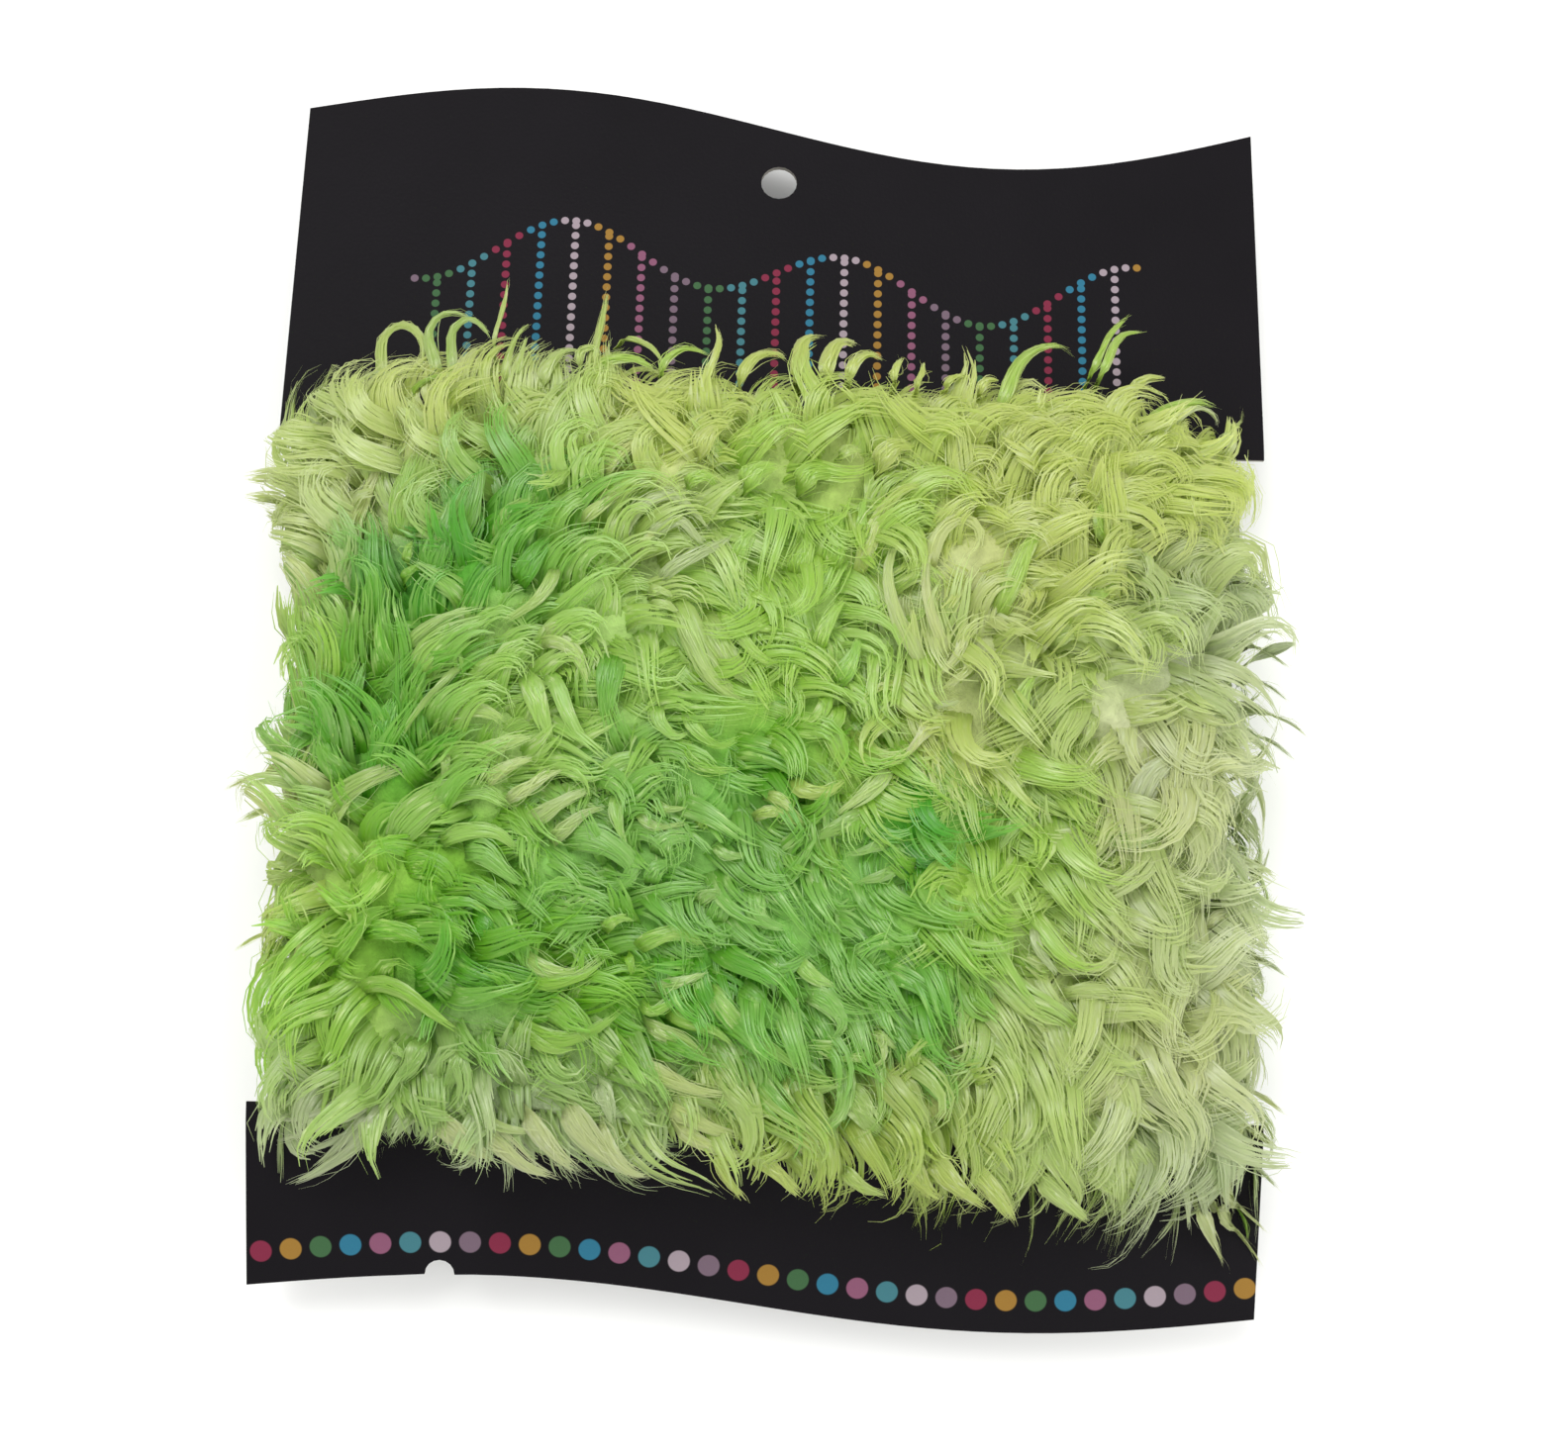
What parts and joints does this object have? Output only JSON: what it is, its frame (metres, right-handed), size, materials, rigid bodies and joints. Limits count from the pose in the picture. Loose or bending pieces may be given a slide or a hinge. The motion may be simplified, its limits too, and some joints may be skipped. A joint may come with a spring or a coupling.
{
  "type": "faux fur trim wound on a card",
  "caption": "Shaggy long-pile faux fur trim wound flat round the notched waist of a die-cut display card, with curly locks standing past both rims.",
  "frame": {"origin": "middle of the small flat spot on the back of the wound fur, on which the whole thing lies, straight behind the middle of the card's waist", "axes": "+Y up the card towards the end with the hang hole, +Z out of the front face, +X to the right when the front is looked at with +Y up"},
  "size_m": [0.1194, 0.1465, 0.0405],
  "materials": {
    "pile": "silky curly pile, dyed in patches from deep green through lime to pale cream green, paler at the tips",
    "board": "coated black printed board with small round dots in bright colours, pale where it is cut"
  },
  "bodies": {
    "root": {"fur_wrap": "pile", "card": "board"}
  },
  "joints": []
}
